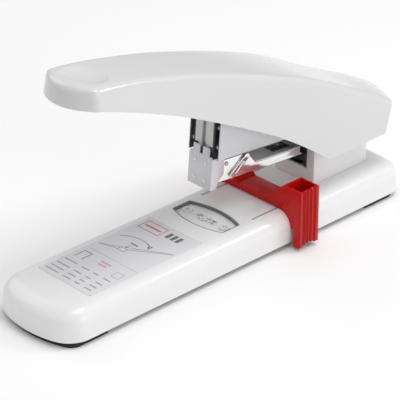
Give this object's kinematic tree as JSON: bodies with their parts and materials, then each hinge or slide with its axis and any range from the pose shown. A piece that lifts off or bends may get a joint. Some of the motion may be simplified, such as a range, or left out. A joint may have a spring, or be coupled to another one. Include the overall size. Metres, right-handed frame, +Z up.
{
  "type": "stapler",
  "caption": "Desk stapler with a long raised lever handle, a hinged arm with magazine and driver, a flat base with anvil and label, and a red sliding depth stop",
  "frame": {"origin": "On the table, under the middle of the base, midway between its ends and sides.", "axes": "+Z up. -Y points to the nose, where the stapling head and the label are; +Y points to the pivot. X runs across the width, and the magazine latch is on the +X side."},
  "size_m": [0.081, 0.276, 0.1454],
  "materials": {
    "white_plastic": "glossy moulded plastic, off-white",
    "grey_plastic": "matt grey moulding",
    "handle_plastic": "satin light grey plastic",
    "pad_plastic": "matt pad set into the handle's top",
    "red_plastic": "glossy red plastic",
    "dark_plastic": "matt black plastic",
    "foot_rubber": "black rubber",
    "label_film": "pale grey printed film",
    "plain_steel": "pressed steel",
    "polished_steel": "polished plated steel",
    "screw_steel": "plated screws, pins and rivets",
    "dark_steel": "dark coated steel",
    "spring_steel": "spring wire",
    "grey_paint": "light grey painted steel",
    "staple_wire": "glued strip of wire staples",
    "bronze": "bearing bushes"
  },
  "bodies": {
    "frame_root": {"base_shell": "white_plastic", "bottom_cover": "grey_plastic", "chassis_plate": "plain_steel", "front_foot": "foot_rubber", "rear_foot": "foot_rubber", "cover_screws": "screw_steel", "anvil_pocket": "dark_plastic", "anvil_plate": "polished_steel", "anvil_screws": "screw_steel", "label_plate": "label_film", "tower_housing": "white_plastic", "pivot_bracket": "plain_steel", "bracket_screws": "dark_steel", "main_pin": "screw_steel", "pin_clips": "dark_steel", "return_spring": "spring_steel"},
    "stop": {"depth_stop": "red_plastic", "stop_slider": "dark_plastic", "stop_screws": "screw_steel"},
    "arm": {"arm_frame": "grey_paint", "arm_bushes": "bronze", "face_plate": "grey_paint", "face_rivets": "screw_steel", "driver_guide": "dark_steel", "guide_spacers": "plain_steel", "magazine_channel": "polished_steel", "magazine_cover": "white_plastic", "magazine_rivets": "screw_steel", "staple_rail": "plain_steel", "staple_strip": "staple_wire", "pusher_rod": "screw_steel", "latch_pin": "screw_steel", "pusher_spring": "spring_steel"},
    "pusher": {"pusher": "dark_plastic"},
    "latch": {"release_latch": "polished_steel"},
    "driver": {"driver_carrier": "plain_steel", "driver_blade": "plain_steel", "driver_rivets": "screw_steel"},
    "handle": {"handle_shell": "handle_plastic", "thumb_pad": "pad_plastic", "inner_lever": "plain_steel", "drive_pin": "screw_steel", "lever_screws": "dark_steel", "lever_bushes": "bronze"}
  },
  "joints": [
    {"name": "handle_hinge", "type": "hinge", "parent": "frame_root", "child": "handle", "pos_m": [0, 0.103, 0.052], "axis": [1, 0, 0], "range_deg": [0, 19], "stiffness_Nm_per_rad": 2, "springref_deg": -28.65},
    {"name": "arm_hinge", "type": "hinge", "parent": "frame_root", "child": "arm", "pos_m": [0, 0.103, 0.052], "axis": [1, 0, 0], "range_deg": [0, 10.9]},
    {"name": "driver_slide", "type": "slide", "parent": "arm", "child": "driver", "axis": [0, -0.0872, -0.9962], "range_m": [0, 0.0155]},
    {"name": "stop_slide", "type": "slide", "parent": "frame_root", "child": "stop", "axis": [0, 1, 0], "range_m": [-0.02, 0.008]},
    {"name": "pusher_slide", "type": "slide", "parent": "arm", "child": "pusher", "axis": [0, 0.9962, -0.0872], "range_m": [0, 0.012], "stiffness_N_per_m": 150, "springref_m": -0.02, "deforming": ["pusher_spring"]},
    {"name": "latch_hinge", "type": "hinge", "parent": "arm", "child": "latch", "pos_m": [0.0092, 0.01086, 0.04862], "axis": [1, 0, 0], "range_deg": [0, 25], "stiffness_Nm_per_rad": 0.02, "springref_deg": -17.19}
  ],
  "couplings": [
    {"joint": "arm_hinge", "follows": "handle_hinge", "ratio": 0.57368},
    {"joint": "driver_slide", "follows": "handle_hinge", "m_per_rad": 0.04674}
  ]
}
